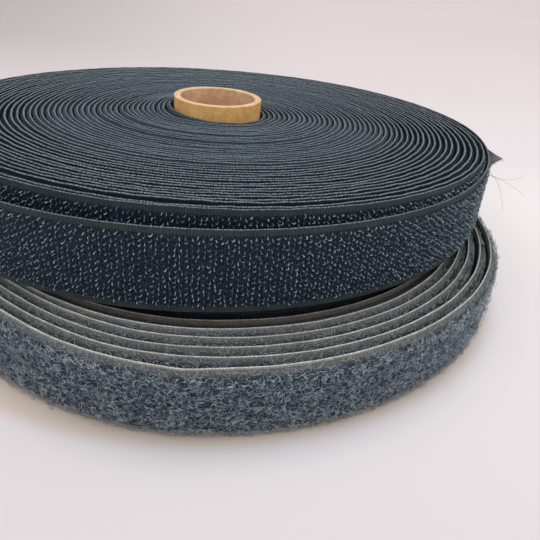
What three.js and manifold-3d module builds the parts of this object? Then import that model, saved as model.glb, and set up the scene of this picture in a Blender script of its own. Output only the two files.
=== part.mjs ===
import * as THREE from 'three';
import { mergeVertices } from 'three/addons/utils/BufferGeometryUtils.js';
import Module from 'manifold-3d';

const wasm = await Module();
wasm.setup();

// A roll of hook tape lying on a roll of loop tape, each wound on its own paper core.
// Millimetres, +Z up. The roll of loop tape stands on z = 0.

// Running gap between a core and what turns round it, and between pieces that butt together
const SEAT_GAP = 0.3;
// How far a cut runs past the wall it goes through
const OVERRUN = 1;

// Tape, both kinds: a bare woven edge runs along each side of the band of hooks or pile
const TAPE_WIDTH = 20;
const BARE_EDGE_WIDTH = 2;
const TURN_STEPS = 24;
const END_STEPS = 8;

// Paper cores, both alike: glued inner plies with one face ply wound round them
const BORE_DIAMETER = 25.4;
const INNER_PLIES_THICKNESS = 1.3;
const FACE_PLY_THICKNESS = 0.6;
// How far a core stands up out of its tape
const CORE_STANDOUT = 5.4;
const SEAM_WIDTH = 0.5;
const SEAM_LEAN = THREE.MathUtils.degToRad(33);
const CORE_FACETS = 48;
// The seams face different ways, as the cores were cut from a long tube
const HOOK_SEAM_ANGLE = THREE.MathUtils.degToRad(-61);
const LOOP_SEAM_ANGLE = THREE.MathUtils.degToRad(70);

// Hook tape: its woven base, the hooks on it and the space from them to the next turn
const HOOK_BASE_THICKNESS = 0.45;
const HOOK_HEIGHT = 0.85;
const HOOK_TURN_GAP = 0.45;
const HOOK_OUTER_TURNS = 10;
// Radius of the tape's back where its free end begins, and the angle of that place
const HOOK_ROLL_RADIUS = 90.9;
const HOOK_END_ANGLE = THREE.MathUtils.degToRad(25);
// The last turn has slipped down the roll and stands off it
const HOOK_SLIP = 2.8;
const HOOK_SLACK = 4;
// Free end: its length, how far it springs out over the last stretch, and its slanting cut
const HOOK_END_LENGTH = 58;
const HOOK_FLARE_LENGTH = 14;
const HOOK_FLARE = 4.4;
const HOOK_CUT_BACK = 24;

// Loop tape, in the same way
const LOOP_BASE_THICKNESS = 0.5;
const PILE_HEIGHT = 1.6;
const LOOP_TURN_GAP = 0.5;
const LOOP_OUTER_TURNS = 7;
const LOOP_ROLL_RADIUS = 91.2;
const LOOP_END_ANGLE = THREE.MathUtils.degToRad(100);
// The roll lies off its core's axis, and its outer turns sag away from it at the front,
// where their upper edge also leans out over the lower one
const LOOP_SHIFT_X = 3;
const LOOP_SHIFT_Y = -10;
const LOOP_SAG = 6;
const LOOP_LEAN = 3.4;
const LOOP_SAG_ANGLE = THREE.MathUtils.degToRad(-87);
// The sag dies away inwards over this many turns
const LOOP_SAG_TURNS = 10;
const LOOP_END_LENGTH = 55;
const LOOP_FLARE_LENGTH = 20;
const LOOP_FLARE = 1.5;

// Where the slip of the last turn of hook tape starts and is full, in shares of that turn
const slipShares = [0.05, 0.2];
// Where its slack starts, is full, starts to go and is gone, in the same shares
const slackShares = [0.14, 0.42, 0.7, 0.95];
// How far round the sag of the loop tape reaches, clockwise and the other way,
// in shares of half a turn
const sagReachShares = [0.22, 0.48];

const LINER_COLOUR = '#b99d85';
const KRAFT_COLOUR = '#c2a067';
const HOOK_COLOUR = '#2f3e4c';
const LOOP_COLOUR = '#5b6b7b';
const PAPER_ROUGHNESS = 0.85;
const WOVEN_ROUGHNESS = 0.9;

// Radii and heights that follow from these
const boreRadius = BORE_DIAMETER / 2;
const pliesRadius = boreRadius + INNER_PLIES_THICKNESS;
const facePlyBoreRadius = pliesRadius + SEAT_GAP;
const coreRadius = facePlyBoreRadius + FACE_PLY_THICKNESS;
const packBoreRadius = (coreRadius + SEAT_GAP) / Math.cos(Math.PI / CORE_FACETS);
const coreLength = TAPE_WIDTH + CORE_STANDOUT;
const hookCoreFoot = coreLength;
const hookTapeFoot = hookCoreFoot + SEAT_GAP;
const hookThickness = HOOK_BASE_THICKNESS + HOOK_HEIGHT;
const loopThickness = LOOP_BASE_THICKNESS + PILE_HEIGHT;

const FULL_TURN = 2 * Math.PI;
const smoothstep = THREE.MathUtils.smoothstep;

// The last turn of hook tape stands off the roll, most at the back and left
function hookSlack(turns) {
	const [start, full, fading, gone] = slackShares;
	const lastTurnShare = turns - (HOOK_OUTER_TURNS - 1);
	const rise = smoothstep(lastTurnShare, start, full);
	const fall = smoothstep(lastTurnShare, fading, gone);
	return HOOK_SLACK * (rise - fall);
}

// It has also slipped down, in a short slope where it leaves the turn below it
function hookSlip(turns) {
	const [start, full] = slipShares;
	return HOOK_SLIP * smoothstep(turns - (HOOK_OUTER_TURNS - 1), start, full);
}

// The outer turns of loop tape sag forwards and lean outwards, the last one most
function loopSlack(turns, height) {
	const [clockwise, anticlockwise] = sagReachShares;
	const angle = LOOP_END_ANGLE - turns * FULL_TURN - LOOP_SAG_ANGLE;
	const away = Math.atan2(Math.sin(angle), Math.cos(angle));
	const reach = Math.PI * (away < 0 ? clockwise : anticlockwise);
	const spreadShare = Math.min(Math.abs(away) / reach, 1);
	const strengthShare = Math.min(1 - (LOOP_OUTER_TURNS - turns) / LOOP_SAG_TURNS, 1);
	const sagShare = strengthShare * Math.pow(Math.cos(spreadShare * Math.PI / 2), 2);
	return sagShare * (LOOP_SAG + LOOP_LEAN * (height / TAPE_WIDTH - 1 / 2));
}

const noSlip = () => 0;

const hookRoll = {
	base: HOOK_BASE_THICKNESS,
	thickness: hookThickness,
	pitch: hookThickness + HOOK_TURN_GAP,
	turns: HOOK_OUTER_TURNS,
	radius: HOOK_ROLL_RADIUS,
	endAngle: HOOK_END_ANGLE,
	centre: new THREE.Vector2(0, 0),
	foot: hookTapeFoot,
	slack: hookSlack,
	slip: hookSlip,
	endLength: HOOK_END_LENGTH,
	flareLength: HOOK_FLARE_LENGTH,
	flare: HOOK_FLARE,
	cutBack: HOOK_CUT_BACK,
};

const loopRoll = {
	base: LOOP_BASE_THICKNESS,
	thickness: loopThickness,
	pitch: loopThickness + LOOP_TURN_GAP,
	turns: LOOP_OUTER_TURNS,
	radius: LOOP_ROLL_RADIUS,
	endAngle: LOOP_END_ANGLE,
	centre: new THREE.Vector2(LOOP_SHIFT_X, LOOP_SHIFT_Y),
	foot: 0,
	slack: loopSlack,
	slip: noSlip,
	endLength: LOOP_END_LENGTH,
	flareLength: LOOP_FLARE_LENGTH,
	flare: LOOP_FLARE,
	cutBack: 0,
};

// A point of the tape, after a number of turns outwards, which run clockwise from above.
// It lies a distance out from the tape's back and a height above its lower edge.
function tapePoint(roll, turns, out, height) {
	const pastRoot = (turns - roll.turns) * FULL_TURN * roll.radius;
	const flareShare = Math.max(0, pastRoot - roll.endLength + roll.flareLength) / roll.flareLength;
	const slack = roll.slack(turns, height) + roll.flare * flareShare * flareShare;
	const angle = roll.endAngle - turns * FULL_TURN;
	const radius = roll.radius + (turns - roll.turns) * roll.pitch + slack + out;
	return new THREE.Vector3(
		roll.centre.x + radius * Math.cos(angle),
		roll.centre.y + radius * Math.sin(angle),
		roll.foot - roll.slip(turns) + height,
	);
}

// The six corners of the tape across its width: a flat back, and a band of hooks or
// pile that thins out to the bare edges. A slanting cut draws the lower corners back.
function tapeSection(roll, turns, cutBack = 0) {
	const corners = [
		[0, 0],
		[roll.base, 0],
		[roll.thickness, BARE_EDGE_WIDTH],
		[roll.thickness, TAPE_WIDTH - BARE_EDGE_WIDTH],
		[roll.base, TAPE_WIDTH],
		[0, TAPE_WIDTH],
	];
	return corners.map(([out, height]) => {
		const back = cutBack * (1 - height / TAPE_WIDTH) / (FULL_TURN * roll.radius);
		return tapePoint(roll, turns - back, out, height);
	});
}

// One closed body through a row of sections, with a flat face at each end
function sweptBody(sections) {
	const corners = sections[0].length;
	const positions = sections.flat().flatMap((point) => point.toArray());
	const index = [];
	for (let step = 0; step < sections.length - 1; step++) {
		for (let corner = 0; corner < corners; corner++) {
			const a = step * corners + corner;
			const b = step * corners + (corner + 1) % corners;
			index.push(a, b, a + corners, b, b + corners, a + corners);
		}
	}
	const last = (sections.length - 1) * corners;
	for (let corner = 1; corner < corners - 1; corner++) {
		index.push(0, corner + 1, corner);
		index.push(last, last + corner, last + corner + 1);
	}
	const body = new THREE.BufferGeometry();
	body.setAttribute('position', new THREE.Float32BufferAttribute(positions, 3));
	body.setIndex(index);
	body.computeVertexNormals();
	return body;
}

// Part of the way from one section to the next, so that a shortened end stays straight
function sectionBetween(from, to, gap) {
	const share = gap / from[0].distanceTo(to[0]);
	return from.map((point, corner) => point.clone().lerp(to[corner], share));
}

// The outer turns of a roll: one unbroken strip that begins at the step in the packed turns
function turnSections(roll) {
	const sections = [];
	for (let step = 0; step <= roll.turns * TURN_STEPS; step++) {
		sections.push(tapeSection(roll, step / TURN_STEPS));
	}
	sections[0] = sectionBetween(sections[0], sections[1], SEAT_GAP);
	const last = sections.length - 1;
	sections[last] = sectionBetween(sections[last], sections[last - 1], SEAT_GAP / 2);
	return sections;
}

// The free end, from where the strip above stops to its cut
function endSections(roll) {
	const lengthInTurns = roll.endLength / (FULL_TURN * roll.radius);
	const sections = [];
	for (let step = 0; step <= END_STEPS; step++) {
		const share = step / END_STEPS;
		sections.push(tapeSection(roll, roll.turns + lengthInTurns * share, roll.cutBack * share));
	}
	sections[0] = sectionBetween(sections[0], sections[1], SEAT_GAP / 2);
	return sections;
}

// The turns below them are packed tight, so they are one block with a step in its side
// where the tape goes on as the outer turns
function packedTurns(roll) {
	const outline = new THREE.Shape();
	for (let step = 0; step <= TURN_STEPS; step++) {
		const point = tapePoint(roll, step / TURN_STEPS - 1, roll.thickness, 0);
		if (step === 0) {
			outline.moveTo(point.x, point.y);
		} else {
			outline.lineTo(point.x, point.y);
		}
	}
	outline.closePath();
	const bore = new THREE.Path();
	bore.setFromPoints(roundPoints(packBoreRadius));
	outline.holes.push(bore);
	const block = new THREE.ExtrudeGeometry(outline, { depth: TAPE_WIDTH, bevelEnabled: false });
	block.translate(0, 0, roll.foot);
	return block;
}

function roundPoints(radius) {
	const points = [];
	for (let facet = 0; facet < CORE_FACETS; facet++) {
		const angle = facet * FULL_TURN / CORE_FACETS;
		points.push(new THREE.Vector2(radius * Math.cos(angle), radius * Math.sin(angle)));
	}
	return points;
}

// A plain length of tube, standing on a height
function tube(innerRadius, outerRadius, foot) {
	const profile = [
		new THREE.Vector2(innerRadius, 0),
		new THREE.Vector2(outerRadius, 0),
		new THREE.Vector2(outerRadius, coreLength),
		new THREE.Vector2(innerRadius, coreLength),
		new THREE.Vector2(innerRadius, 0),
	];
	const body = new THREE.LatheGeometry(profile, CORE_FACETS);
	body.rotateX(Math.PI / 2);
	body.translate(0, 0, foot);
	return body;
}

// The face ply is a paper strip wound aslant, so its edges meet in a slanting seam
function facePly(foot, seamAngle) {
	const wall = solid(tube(facePlyBoreRadius, coreRadius, foot));
	const depth = coreRadius / 2 + OVERRUN;
	const height = coreLength / Math.cos(SEAM_LEAN) + 2 * OVERRUN;
	const slot = new THREE.BoxGeometry(depth, SEAM_WIDTH, height);
	slot.rotateX(-SEAM_LEAN);
	slot.translate(coreRadius + OVERRUN - depth / 2, 0, foot + coreLength / 2);
	slot.rotateZ(seamAngle);
	return geometry(wall.subtract(solid(slot)));
}

// Closed meshes are cut as solids and brought back as geometry
function solid(body) {
	const bare = body.clone();
	bare.deleteAttribute('normal');
	bare.deleteAttribute('uv');
	const merged = mergeVertices(bare);
	return new wasm.Manifold(new wasm.Mesh({
		numProp: 3,
		vertProperties: new Float32Array(merged.attributes.position.array),
		triVerts: new Uint32Array(merged.index.array),
	}));
}

function geometry(cutSolid) {
	const mesh = cutSolid.getMesh();
	const body = new THREE.BufferGeometry();
	body.setAttribute('position', new THREE.Float32BufferAttribute(mesh.vertProperties, 3));
	body.setIndex(Array.from(mesh.triVerts));
	body.computeVertexNormals();
	return body;
}

// Least distance from the outer face of one turn to the back of the next, on points
function leastGap(sections) {
	let least = Infinity;
	for (let step = 0; step < sections.length; step++) {
		const [, , face] = sections[step];
		const from = face.clone().setZ(0);
		const soonest = step + TURN_STEPS / 2;
		const latest = Math.min(step + TURN_STEPS * 3 / 2, sections.length - 1);
		for (let ahead = soonest; ahead < latest; ahead++) {
			const [back] = sections[ahead];
			const [nextBack] = sections[ahead + 1];
			const stretch = new THREE.Line3(back.clone().setZ(0), nextBack.clone().setZ(0));
			const nearest = stretch.closestPointToPoint(from, true, new THREE.Vector3());
			least = Math.min(least, nearest.distanceTo(from));
		}
	}
	return least;
}

const pair = new THREE.Group();

function addPiece(name, body, colour, roughness) {
	const material = new THREE.MeshStandardMaterial({ color: colour, roughness, metalness: 0 });
	const piece = new THREE.Mesh(body, material);
	piece.name = name;
	pair.add(piece);
}

const rolls = [
	['loop', loopRoll, 0, LOOP_SEAM_ANGLE, LOOP_COLOUR],
	['hook', hookRoll, hookCoreFoot, HOOK_SEAM_ANGLE, HOOK_COLOUR],
];

for (const [kind, tape, coreFoot, seamAngle, colour] of rolls) {
	const innerPlies = tube(boreRadius, pliesRadius, coreFoot);
	const outerTurns = turnSections(tape);
	addPiece(`${kind}_core_inner_plies`, innerPlies, LINER_COLOUR, PAPER_ROUGHNESS);
	addPiece(`${kind}_core_face_ply`, facePly(coreFoot, seamAngle), KRAFT_COLOUR, PAPER_ROUGHNESS);
	addPiece(`${kind}_tape_packed_turns`, packedTurns(tape), colour, WOVEN_ROUGHNESS);
	addPiece(`${kind}_tape_outer_turns`, sweptBody(outerTurns), colour, WOVEN_ROUGHNESS);
	addPiece(`${kind}_tape_free_end`, sweptBody(endSections(tape)), colour, WOVEN_ROUGHNESS);
	console.log(`${kind} tape, least gap between its turns: ${leastGap(outerTurns).toFixed(2)} mm`);
}

// The frame's origin lies under the middle of the pair
const bounds = new THREE.Box3().setFromObject(pair);
const middle = bounds.getCenter(new THREE.Vector3());
pair.position.set(-middle.x, -middle.y, 0);

export default pair;
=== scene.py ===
import math
from functools import partial
from types import SimpleNamespace

import bpy
import numpy as np
from mathutils import Matrix, Vector


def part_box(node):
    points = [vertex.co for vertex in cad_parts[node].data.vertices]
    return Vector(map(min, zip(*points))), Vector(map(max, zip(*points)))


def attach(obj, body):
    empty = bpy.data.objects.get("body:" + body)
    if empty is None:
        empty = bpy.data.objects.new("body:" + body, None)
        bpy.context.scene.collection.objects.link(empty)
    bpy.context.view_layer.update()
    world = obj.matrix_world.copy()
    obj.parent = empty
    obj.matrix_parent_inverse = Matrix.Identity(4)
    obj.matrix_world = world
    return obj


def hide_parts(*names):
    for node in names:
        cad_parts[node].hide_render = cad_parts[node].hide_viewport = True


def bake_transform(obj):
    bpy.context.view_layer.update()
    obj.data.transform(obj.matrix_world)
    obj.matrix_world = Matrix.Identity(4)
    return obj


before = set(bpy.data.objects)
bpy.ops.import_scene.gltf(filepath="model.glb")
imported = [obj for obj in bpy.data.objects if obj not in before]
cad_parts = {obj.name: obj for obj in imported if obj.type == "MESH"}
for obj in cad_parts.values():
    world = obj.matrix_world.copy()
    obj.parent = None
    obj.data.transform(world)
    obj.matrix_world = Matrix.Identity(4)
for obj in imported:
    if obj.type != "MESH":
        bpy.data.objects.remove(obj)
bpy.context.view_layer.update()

# A roll of hook tape lying on a roll of loop tape, each wound on its own paper core.
# Metres, +Z up. The tape's own directions are along it, out from its back, and its height.

MM = 0.001
TURN = 2 * math.pi


# Places taken from the frame

hook_plies_low, hook_plies_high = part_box("hook_core_inner_plies")
hook_pack_low, hook_pack_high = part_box("hook_tape_packed_turns")
loop_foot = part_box("loop_tape_packed_turns")[0].z
CORE_AXIS = (hook_plies_low + hook_plies_high) / 2
TAPE_WIDTH = hook_pack_high.z - hook_pack_low.z


# The two windings, with the sizes of the solids they dress

def smoothstep(value, low, high):
    share = np.clip((value - low) / (high - low), 0, 1)
    return share * share * (3 - 2 * share)


def bell(angle, reach):
    """A smooth rise to 1 at an angle of zero, gone at this reach to either side."""
    away = np.abs(np.arctan2(np.sin(angle), np.cos(angle)))
    return np.cos(np.clip(away / reach, 0, 1) * math.pi / 2) ** 2


# How the outer turns hang: slack, slip and sag at their most
HOOK_SLACK = 4 * MM
HOOK_LEAN = 2.2 * MM
HOOK_SLIP = 2.8 * MM
LOOP_SAG = 6 * MM
LOOP_LEAN = 3.4 * MM
LOOP_CREASE = 0.6 * MM


def hook_slack(turns, height):
    """The last turn has come loose, and on the left its foot lies further in than its upper edge."""
    last_turn = turns - (hook.turns - 1)
    loose = HOOK_SLACK * (smoothstep(last_turn, 0.14, 0.42) - smoothstep(last_turn, 0.7, 0.95))
    lean = HOOK_LEAN * smoothstep(last_turn, 0.3, 0.5) * (1 - smoothstep(last_turn, 0.36, 0.44))
    return loose - lean * (1 - height / TAPE_WIDTH)


def hook_slip(turns):
    return HOOK_SLIP * smoothstep(turns - (hook.turns - 1), 0.05, 0.2)


def loop_slack(turns, height):
    """The outer turns sag forwards and lean outwards, and the last one has a small crease."""
    angle = loop.end_angle - turns * TURN - FRONT
    away = np.arctan2(np.sin(angle), np.cos(angle))
    reach = math.pi * np.where(away < 0, 0.22, 0.48)
    spread = np.minimum(np.abs(away) / reach, 1)
    strength = np.clip(1 - (loop.turns - turns) / 10, 0, 1)
    sag = LOOP_SAG + LOOP_LEAN * (height / TAPE_WIDTH - 0.5)
    last_turn = turns > loop.turns - 0.8
    crease = LOOP_CREASE * np.exp(-(away / math.radians(3)) ** 2) * last_turn * height / TAPE_WIDTH
    return strength * np.cos(spread * math.pi / 2) ** 2 * sag + crease


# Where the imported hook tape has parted: how many turns in, how wide, and at which angle in
# degrees. A width below zero presses the turns closer.
HOOK_PARTINGS = [
    (1, -0.5 * MM, -95), (2, 1.35 * MM, -108), (17, 1.0 * MM, -85), (18, 0.5 * MM, -80),
    (28, 1.7 * MM, -92), (32, 1.9 * MM, -95),
]
LEFT_FRONT = math.radians(-145)
FRONT = math.radians(-87)


def hook_stray(turns, angle, run):
    """How far a turn strays from an even winding, out from the core's axis."""
    packed = 1 - smoothstep(turns, hook.turns - 2.2, hook.turns - 1.4)
    stray = (0.14 * ripple(run, 0.047, 0.113, 0.29) + 0.06 * ripple(run, 0.0083, 0.0127)) * MM * packed
    stray = stray + 0.045 * MM * ripple(run, 0.0023, 0.0034) * packed * (turns > 2)
    for count, width, middle in HOOK_PARTINGS:
        inside = hook.turns - 1.18 - count - turns
        here = bell(angle - math.radians(middle), 1.6)
        stray = stray - width * here * (inside > 0) * np.clip(1 - inside / 6, 0, 1)
    return stray + 1.0 * MM * bell(angle + 0.35, 0.75) * smoothstep(turns, 2, 8.8)


def hook_rise(turns, angle, run, height):
    """The turns round the core stand slanting, all but the first dip, and every upper edge wavers."""
    from_core = turns - hook.start
    near_core = 1 - smoothstep(from_core, 0, 9)
    slant = (0.9 - 1.15 * np.cos(angle) + 0.6 * np.sin(angle)) * MM * near_core
    dip = 1.5 * MM * bell(angle - LEFT_FRONT, 1.2) * near_core * (from_core > 1)
    packed = 1 - smoothstep(turns, hook.turns - 2, hook.turns - 1)
    waver = (0.05 + 0.12 * packed) * MM * ripple(run, 0.0093, 0.031, 0.083)
    waver = waver + 0.06 * MM * ripple(run, 0.0021, 0.0029, 0.0057) * packed * (turns > 2)
    return slant - dip + waver * height / TAPE_WIDTH


def loop_stray(turns, angle, run):
    """The turns under the loose ones stay further in at the front. The first two loose ones bulge
    out at the left, and the outermost ones at the right."""
    inside = loop.turns - 5.98 - turns
    inwards = 3.5 * MM * bell(angle - FRONT, 2.2) * (inside > 0) * np.clip(1 - inside / 8, 0, 1)
    left = 1.3 * MM * bell(angle - LEFT_FRONT - 0.2, 1.25) * (1 - smoothstep(turns, 2.8, 3.2)) * (inside <= 0)
    right = 1.2 * MM * bell(angle + 0.26, 0.9) * smoothstep(turns, 4, 6.4)
    return 0.12 * MM * ripple(run, 0.021, 0.09, 0.23) - inwards + left + right


def loop_rise(turns, angle, run, height):
    return 0.07 * MM * ripple(run, 0.0087, 0.026, 0.083) * height / TAPE_WIDTH


# Of each roll: the thickness of its woven base and the height of the hooks or pile on it, the
# distance from turn to turn, how many outer turns it has, where they end, how far they have
# moved off the core's axis, the radius of the first turn, and the free end's length and flare
hook = SimpleNamespace(
    name="hook", base=0.45 * MM, face=0.85 * MM, pitch=1.75 * MM, turns=10, radius=90.9 * MM,
    end_angle=math.radians(25), shift=(0, 0), foot=hook_pack_low.z, slack=hook_slack, slip=hook_slip,
    stray=hook_stray, rise=hook_rise, bare_edge=1.5 * MM, first_radius=15.65 * MM,
    end_length=58 * MM, flare_length=20 * MM, flare=3.4 * MM, cut_back=24 * MM,
)
loop = SimpleNamespace(
    name="loop", base=0.38 * MM, face=1.6 * MM, pitch=2.6 * MM, turns=7, radius=91.2 * MM,
    end_angle=math.radians(100), shift=(3 * MM, -10 * MM), foot=loop_foot, slack=loop_slack,
    slip=lambda turns: 0 * turns, stray=loop_stray, rise=loop_rise, bare_edge=2 * MM,
    first_radius=15.8 * MM, end_length=55 * MM, flare_length=20 * MM, flare=1.5 * MM, cut_back=0,
)
for roll in (hook, loop):
    roll.start = roll.turns - (roll.radius - roll.first_radius) / roll.pitch


def ripple(value, *waves):
    """A smooth wavering from -1 to 1, from wave lengths in the same unit as the value."""
    total = sum(np.sin(TURN * value / length + 1.7 * k) for k, length in enumerate(waves))
    return total / len(waves)


def run_at(roll, turns):
    """Length of tape from where the outer turns begin."""
    inner = roll.radius - roll.turns * roll.pitch
    return TURN * (inner * turns + roll.pitch * turns * turns / 2)


def turns_at(roll, run):
    table = np.linspace(roll.start - 1, roll.turns + 1, 4000)
    return np.interp(run, run_at(roll, table), table)


def wind(roll, run, out, height):
    """Places of points of the wound tape, from their run along it, out from its back and height."""
    turns = turns_at(roll, run)
    past_root = np.clip(turns - roll.turns, 0, None) * TURN * roll.radius
    flare_share = np.clip(past_root - roll.end_length + roll.flare_length, 0, None) / roll.flare_length
    angle = roll.end_angle - turns * TURN
    radius = roll.radius + (turns - roll.turns) * roll.pitch + roll.slack(turns, height) + out
    radius = radius + roll.flare * flare_share ** 3 + roll.stray(turns, angle, run)
    shift_share = np.clip((turns - roll.start) / -roll.start, 0, 1)
    return np.stack([
        CORE_AXIS.x + roll.shift[0] * shift_share + radius * np.cos(angle),
        CORE_AXIS.y + roll.shift[1] * shift_share + radius * np.sin(angle),
        roll.foot - roll.slip(turns) + height + roll.rise(turns, angle, run, height),
    ], axis=1)


# Helpers for modelling

def select_none():
    bpy.ops.object.select_all(action="DESELECT")


def select_only(piece):
    select_none()
    piece.select_set(True)
    bpy.context.view_layer.objects.active = piece


def edit_mode(piece, pick=None, kind="FACE"):
    """Opens a piece for editing with the faces or edges selected that pick(mesh) marks, or with all."""
    select_only(piece)
    bpy.ops.object.mode_set(mode="EDIT")
    bpy.ops.mesh.select_mode(type=kind)
    bpy.ops.mesh.select_all(action="DESELECT" if pick else "SELECT")
    if pick:
        bpy.ops.object.mode_set(mode="OBJECT")
        pick(piece.data)
        bpy.ops.object.mode_set(mode="EDIT")


def apply_modifiers(piece):
    select_only(piece)
    for modifier in list(piece.modifiers):
        bpy.ops.object.modifier_apply(modifier=modifier.name)


def smooth(piece, degrees=40):
    select_only(piece)
    bpy.ops.object.shade_smooth_by_angle(angle=math.radians(degrees))


def corners(piece):
    found = np.empty(len(piece.data.vertices) * 3)
    piece.data.vertices.foreach_get("co", found)
    return found.reshape(-1, 3)


def place_corners(piece, places):
    piece.data.vertices.foreach_set("co", np.asarray(places, np.float32).ravel())
    piece.data.update()


def lay_tape_map(piece, flat):
    """A UV map in millimetres: along the tape and up its width."""
    layer = piece.data.uv_layers.new(name="tape_mm")
    index = np.empty(len(piece.data.loops), np.int32)
    piece.data.loops.foreach_get("vertex_index", index)
    layer.data.foreach_set("uv", (flat[index][:, [0, 2]] / MM).astype(np.float32).ravel())


# How long a stretch of tape would bend where a free end peels off its roll; its ends are worked out, but
# nothing bends the tape
BEND_LENGTH = 11 * MM


def finish_piece(piece, body, slot, *materials, bends=None):
    """Gives a piece these materials, which its faces pick by their material index, and puts it on its body.
    A free end's piece names the roll that it peels from: the stretch where it would bend away is worked
    out, but nothing bends the piece, and it stays off its body with its transform baked in."""
    picked = np.empty(len(piece.data.polygons), np.int32)
    piece.data.polygons.foreach_get("material_index", picked)
    piece.data.materials.clear()
    for material in materials:
        piece.data.materials.append(material)
    piece.data.polygons.foreach_set("material_index", picked)
    if bends:
        run = run_at(bends, bends.turns) + np.array([0, BEND_LENGTH])
        start, end = wind(bends, run, 0 * run, 0 * run + TAPE_WIDTH / 2)
        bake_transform(piece)
    else:
        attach(piece, body)


# Tape modelled flat, then wound

EDGE_BEVEL = 0.13 * MM
# A corner this close to a face of the flat strip lies in it
NEAR = 0.01 * MM
STRAND_SIDES = 3
# No strand dips lower than this, so that the roll stands on its tape
LOWEST_STRAND = 0.03 * MM


def flat_strip(name, start, end, step, rows):
    """A flat woven strip standing on edge, with rows of corners at these heights."""
    steps = max(2, round((end - start) / step))
    select_none()
    bpy.ops.mesh.primitive_grid_add(x_subdivisions=steps, y_subdivisions=len(rows) - 1, size=2)
    strip = bpy.context.object
    strip.name = strip.data.name = name
    places = corners(strip)
    row = np.rint((places[:, 1] + 1) / 2 * (len(rows) - 1)).astype(int)
    along = start + (places[:, 0] + 1) / 2 * (end - start)
    place_corners(strip, np.stack([along, 0 * along, np.asarray(rows)[row]], axis=1))
    return strip


def raise_strip(strip, thickness):
    """Extrudes a flat strip outwards from its back."""
    edit_mode(strip)
    bpy.ops.mesh.extrude_region_move(TRANSFORM_OT_translate={"value": (0, thickness, 0)})
    bpy.ops.mesh.select_all(action="SELECT")
    bpy.ops.mesh.normals_make_consistent(inside=False)
    bpy.ops.object.mode_set(mode="OBJECT")


def thicken_strip(strip, base, face_height=0, bare=0):
    """Gives a strip its woven base and, between its bare edges, a band of hooks or pile this high."""
    raise_strip(strip, base)

    def band(mesh):
        for face in mesh.polygons:
            inside = bare < face.center.z < TAPE_WIDTH - bare
            face.select = face.center.y > base * 0.9 and abs(face.normal.y) > 0.9 and inside

    def long_edges(mesh):
        heights = [corner.co.z for corner in mesh.vertices]
        for edge in mesh.edges:
            a, b = edge.vertices
            low = max(heights[a], heights[b]) < NEAR
            high = min(heights[a], heights[b]) > TAPE_WIDTH - NEAR
            run = abs(mesh.vertices[a].co.x - mesh.vertices[b].co.x)
            edge.select = (low or high) and run > 10 * NEAR

    if face_height:
        edit_mode(strip, band)
        bpy.ops.mesh.extrude_region_move(TRANSFORM_OT_translate={"value": (0, face_height, 0)})
        bpy.ops.object.mode_set(mode="OBJECT")
    edit_mode(strip, long_edges, "EDGE")
    bpy.ops.mesh.bevel(offset=EDGE_BEVEL, segments=1)
    bpy.ops.object.mode_set(mode="OBJECT")
    return strip


def wind_strip(strip, roll, cut_back=0):
    """Winds a flat strip onto its roll, with its end cut back at the foot by this much."""
    flat = corners(strip)
    if cut_back:
        start, end = flat[:, 0].min(), flat[:, 0].max()
        lean = 1 - cut_back / (end - start) * (1 - flat[:, 2] / TAPE_WIDTH)
        flat[:, 0] = start + (flat[:, 0] - start) * lean
    lay_tape_map(strip, flat)
    place_corners(strip, wind(roll, flat[:, 0], flat[:, 1], flat[:, 2]))
    smooth(strip)


# A direction that no strand runs along
ASIDE = (0.31, 0.17, 0.93)


def strand(path, radius, tip=1.0):
    """Corners of a thin strand along a path, ring by ring. Its tip's radius is a share of its root's."""
    path = np.asarray(path, float)
    ways = np.gradient(path, axis=0)
    ways /= np.linalg.norm(ways, axis=1)[:, None]
    side = np.cross(ways, ASIDE)
    side /= np.linalg.norm(side, axis=1)[:, None]
    other = np.cross(ways, side)
    rings = []
    for k, point in enumerate(path):
        thin = radius * (1 + (tip - 1) * k / (len(path) - 1))
        for s in range(STRAND_SIDES):
            turn = TURN * s / STRAND_SIDES
            rings.append(point + thin * (math.cos(turn) * side[k] + math.sin(turn) * other[k]))
    return np.array(rings)


def strand_faces(corner_count, copies):
    """Faces of many strands that have their corners one after another, with their ends closed."""
    sides = STRAND_SIDES
    walls, last = [], corner_count - sides
    for a in range(last):
        b = a - a % sides + (a + 1) % sides
        walls.append((a, b, b + sides, a + sides))
    caps = [tuple(reversed(range(sides))), tuple(range(last, corner_count))]
    first = (np.arange(copies) * corner_count)[:, None, None]
    return [
        face for kind in (walls, caps)
        for face in (first + np.array(kind)[None]).reshape(-1, len(kind[0])).tolist()
    ]


def add_mesh(name, places, faces):
    mesh = bpy.data.meshes.new(name)
    mesh.from_pydata(places.tolist(), [], faces)
    piece = bpy.data.objects.new(name, mesh)
    bpy.context.scene.collection.objects.link(piece)
    edit_mode(piece)
    bpy.ops.mesh.normals_make_consistent(inside=False)
    bpy.ops.object.mode_set(mode="OBJECT")
    mesh.polygons.foreach_set("use_smooth", np.ones(len(mesh.polygons), bool))
    return piece


def many(name, shapes, picks, turned, at, roll):
    """One mesh of many small strands. Each pick names a shape, which is turned and set in its place."""
    flat = (np.einsum("nij,nvj->nvi", turned, shapes[picks]) + at[:, None, :]).reshape(-1, 3)
    places = wind(roll, flat[:, 0], flat[:, 1], flat[:, 2])
    places[:, 2] = np.maximum(places[:, 2], LOWEST_STRAND)
    piece = add_mesh(name, places, strand_faces(shapes.shape[1], len(picks)))
    lay_tape_map(piece, flat)
    return piece


def upright_turns(along, across):
    """Turns that lay a shape's length along this way over the tape's face, and keep its rise outwards."""
    zero, one = 0 * along, 0 * along + 1
    return np.stack([
        np.stack([along, zero, -across], axis=1),
        np.stack([zero, one, zero], axis=1),
        np.stack([across, zero, along], axis=1),
    ], axis=1)


# Materials

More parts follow.
